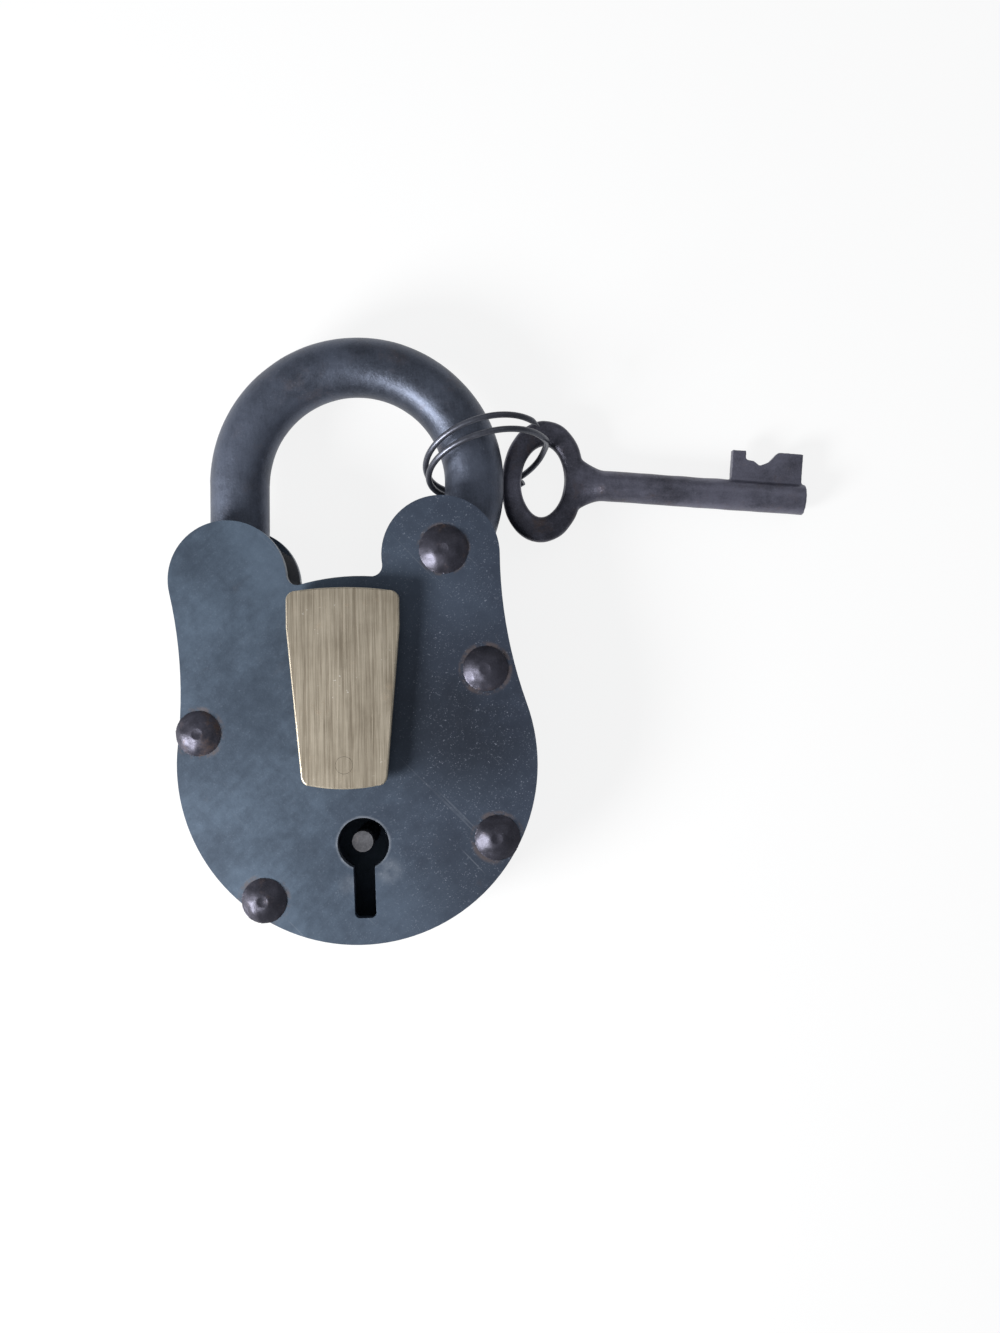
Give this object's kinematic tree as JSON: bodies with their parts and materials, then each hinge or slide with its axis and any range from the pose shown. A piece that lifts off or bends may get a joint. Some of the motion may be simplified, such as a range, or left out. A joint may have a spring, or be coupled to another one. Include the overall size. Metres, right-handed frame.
{
  "type": "padlock",
  "caption": "Blackened iron lever padlock with domed rivets, brass swinging keyhole cover and a barrel key on a wire ring through its shackle.",
  "frame": {"origin": "centre of the round belly on the back plate's outer face", "axes": "+Y up the case's middle line to the shackle, +X to the shackle's pivot side, +Z out of the front plate"},
  "size_m": [0.1608, 0.1461, 0.0313],
  "materials": {
    "blackened_iron": "blackened forged iron, satin, light brown tints and worn edges",
    "key_iron": "blackened iron, satin, polished by handling on the bow",
    "wire_iron": "dark drawn wire, slightly bright on its wear lines",
    "works_steel": "dull oiled steel",
    "brass": "brushed tan brass with bright worn edges"
  },
  "bodies": {
    "case": {"front_plate": "blackened_iron", "back_plate": "blackened_iron", "case_band": "blackened_iron", "saddle_band": "blackened_iron", "case_rivet_1": "blackened_iron", "case_rivet_2": "blackened_iron", "case_rivet_3": "blackened_iron", "case_rivet_4": "blackened_iron", "pivot_rivet": "blackened_iron", "pivot_spacer_1": "works_steel", "pivot_spacer_2": "works_steel", "guide_post_1": "works_steel", "guide_post_2": "works_steel", "lever_post": "works_steel", "lever_collar_1": "works_steel", "lever_washer_1": "works_steel", "lever_washer_2": "works_steel", "lever_collar_2": "works_steel", "lever_spring_1": "works_steel", "lever_spring_2": "works_steel", "lever_spring_3": "works_steel", "spring_post": "works_steel", "drill_pin": "works_steel", "cover_stud": "brass", "cover_washer": "works_steel"},
    "shackle": {"shackle": "blackened_iron"},
    "bolt": {"bolt": "works_steel", "bolt_nose": "works_steel", "bolt_stump": "works_steel"},
    "lever_1": {"lever_1": "works_steel"},
    "lever_2": {"lever_2": "works_steel"},
    "lever_3": {"lever_3": "works_steel"},
    "cover": {"keyhole_cover": "brass"},
    "ring": {"key_ring": "wire_iron"},
    "key": {"ring_key": "key_iron"}
  },
  "joints": [
    {"name": "shackle_swing", "type": "hinge", "parent": "case", "child": "shackle", "pos_m": [0.0262, 0.0481, 0.013], "axis": [0, 0, -1], "range_deg": [0, 50]},
    {"name": "bolt_slide", "type": "slide", "parent": "case", "child": "bolt", "axis": [-1, 0, 0], "range_m": [0, 0.007]},
    {"name": "lever_1_lift", "type": "hinge", "parent": "case", "child": "lever_1", "pos_m": [0.024, -0.006, 0.0103], "axis": [0, 0, -1], "range_deg": [0, 5], "stiffness_Nm_per_rad": 0.05, "deforming": ["lever_spring_1"]},
    {"name": "lever_2_lift", "type": "hinge", "parent": "case", "child": "lever_2", "pos_m": [0.024, -0.006, 0.0131], "axis": [0, 0, -1], "range_deg": [0, 5], "stiffness_Nm_per_rad": 0.05, "deforming": ["lever_spring_2"]},
    {"name": "lever_3_lift", "type": "hinge", "parent": "case", "child": "lever_3", "pos_m": [0.024, -0.006, 0.0159], "axis": [0, 0, -1], "range_deg": [0, 5], "stiffness_Nm_per_rad": 0.05, "deforming": ["lever_spring_3"]},
    {"name": "cover_swing", "type": "hinge", "parent": "case", "child": "cover", "pos_m": [-0.0025, 0.0005, 0.0301], "axis": [0, 0, 1], "continuous": true},
    {"name": "ring_swing", "type": "hinge", "parent": "shackle", "child": "ring", "pos_m": [0.03535, 0.0691, 0.013], "axis": [0.059, -0.9983, 0], "range_deg": [0, 80]},
    {"name": "key_swing", "type": "hinge", "parent": "ring", "child": "key", "pos_m": [0.05122, 0.06738, 0.00666], "axis": [0, 0, 1], "range_deg": [0, 40]}
  ]
}
